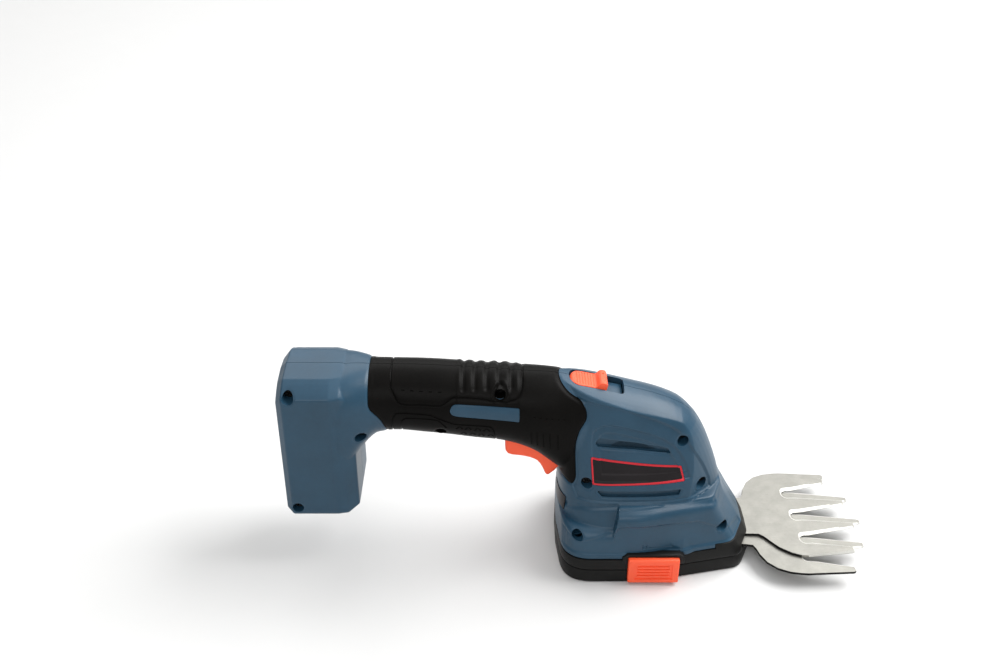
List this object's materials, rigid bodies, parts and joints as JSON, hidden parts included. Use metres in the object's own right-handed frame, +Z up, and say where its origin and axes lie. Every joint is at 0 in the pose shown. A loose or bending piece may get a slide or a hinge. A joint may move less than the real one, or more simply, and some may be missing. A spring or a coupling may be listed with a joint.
{
  "type": "cordless shrub shears",
  "caption": "Hand-held cordless shrub and grass shears with a rounded gear head, a comb cutter on a flat foot, a trigger, a lock-off slider and a battery box at the rear of the grip.",
  "frame": {"origin": "centre of the flat sole of the foot, on the supporting surface", "axes": "+X along the tool towards the cutter's teeth, +Y to the tool's left side, +Z up away from the sole"},
  "size_m": [0.3366, 0.0908, 0.1236],
  "materials": {
    "blue_plastic": "fine grained steel-blue moulding",
    "black_plastic": "fine grained black moulding",
    "grip_rubber": "soft black overmould",
    "orange_plastic": "satin orange-red moulding",
    "blade_steel": "ground and brushed, slightly mottled",
    "steel": "turned steel",
    "dark_steel": "blackened steel",
    "white_plastic": "natural gear plastic",
    "brass": "turned",
    "board_green": "circuit board",
    "cell": "shrink wrap over a metal can",
    "red_plastic": "glossy red",
    "label_dark": "bare dark label film"
  },
  "bodies": {
    "housing": {"housing_right": "blue_plastic", "housing_left": "blue_plastic", "grip_right": "grip_rubber", "grip_left": "grip_rubber", "nameplate": "label_dark", "rear_label": "label_dark", "battery_cell_1": "cell", "battery_cell_2": "cell", "cell_holder": "black_plastic", "charge_board": "board_green", "charge_socket": "black_plastic", "trigger_pivot_pin": "steel", "trigger_spring": "steel", "switch_body": "black_plastic", "lock_spring": "steel", "motor_can": "steel", "motor_end_cap": "white_plastic", "idler_axle": "steel", "lower_bush": "brass", "upper_bush": "brass", "gear_case_lower": "black_plastic", "gear_case_upper": "black_plastic", "lead_black": "black_plastic", "lead_motor": "red_plastic", "lead_red": "red_plastic", "box_screw_bottom": "dark_steel", "box_screw_top": "dark_steel", "grip_screw_front": "dark_steel", "grip_screw_rear": "dark_steel", "head_screw_front": "dark_steel", "head_screw_rear": "dark_steel", "head_screw_top": "dark_steel", "neck_screw": "dark_steel", "skirt_screw_front": "dark_steel", "skirt_screw_rear": "dark_steel"},
    "trigger": {"trigger": "orange_plastic"},
    "switch_plunger": {"switch_plunger": "red_plastic"},
    "lock_off": {"lock_off_slider": "orange_plastic"},
    "crank": {"crank_gear": "white_plastic", "crank_shaft": "steel", "crank_pin": "steel"},
    "idler": {"idler_gear": "white_plastic"},
    "motor_shaft": {"motor_rotor": "dark_steel", "motor_pinion": "brass"},
    "cassette": {"cassette_base": "black_plastic", "cassette_top": "black_plastic", "cassette_screw_1": "dark_steel", "cassette_screw_2": "dark_steel", "cassette_screw_3": "dark_steel", "cassette_screw_4": "dark_steel", "lower_blade": "blade_steel", "blade_pivot_bolt": "steel", "blade_nut": "dark_steel", "spring_washer": "steel", "latch_spring_left": "steel", "latch_spring_right": "steel"},
    "upper_blade": {"upper_blade": "blade_steel", "blade_fork": "dark_steel"},
    "latch_right": {"latch_right": "orange_plastic"},
    "latch_left": {"latch_left": "orange_plastic"}
  },
  "joints": [
    {"name": "trigger_pull", "type": "hinge", "parent": "housing", "child": "trigger", "pos_m": [-0.0665, 0, 0.07], "axis": [0, 1, 0], "range_deg": [0, 7], "stiffness_Nm_per_rad": 0.6, "springref_deg": -5.73, "deforming": ["trigger_spring"]},
    {"name": "plunger_press", "type": "slide", "parent": "housing", "child": "switch_plunger", "axis": [0, 0, 1], "range_m": [0, 0.0026]},
    {"name": "lock_off_slide", "type": "slide", "parent": "housing", "child": "lock_off", "axis": [0.9763, 0, -0.2164], "range_m": [0, 0.0095], "stiffness_N_per_m": 200, "springref_m": -0.005, "deforming": ["lock_spring"]},
    {"name": "crank_spin", "type": "hinge", "parent": "housing", "child": "crank", "pos_m": [0.006, 0, 0.016], "axis": [0, 0, 1], "continuous": true},
    {"name": "idler_spin", "type": "hinge", "parent": "housing", "child": "idler", "pos_m": [-0.0108, 0, 0.031], "axis": [0, 0, 1], "continuous": true},
    {"name": "motor_spin", "type": "hinge", "parent": "housing", "child": "motor_shaft", "pos_m": [-0.0258, 0, 0.0468], "axis": [0, 0, 1], "continuous": true},
    {"name": "cassette_removal", "type": "slide", "parent": "housing", "child": "cassette", "axis": [0, 0, -1], "range_m": [0, 0.02]},
    {"name": "blade_swing", "type": "hinge", "parent": "cassette", "child": "upper_blade", "pos_m": [0.03, 0, 0.0103], "axis": [0, 0, 1], "range_deg": [-11.2, 3.4]},
    {"name": "latch_right_press", "type": "slide", "parent": "cassette", "child": "latch_right", "axis": [0, 1, 0], "range_m": [0, 0.003], "stiffness_N_per_m": 800, "springref_m": -0.002, "deforming": ["latch_spring_right"]},
    {"name": "latch_left_press", "type": "slide", "parent": "cassette", "child": "latch_left", "axis": [0, -1, 0], "range_m": [0, 0.003], "stiffness_N_per_m": 800, "springref_m": -0.002, "deforming": ["latch_spring_left"]}
  ],
  "couplings": [
    {"joint": "plunger_press", "follows": "trigger_pull", "m_per_rad": 0.0205},
    {"joint": "idler_spin", "follows": "crank_spin", "ratio": -3},
    {"joint": "motor_spin", "follows": "crank_spin", "ratio": 12}
  ]
}
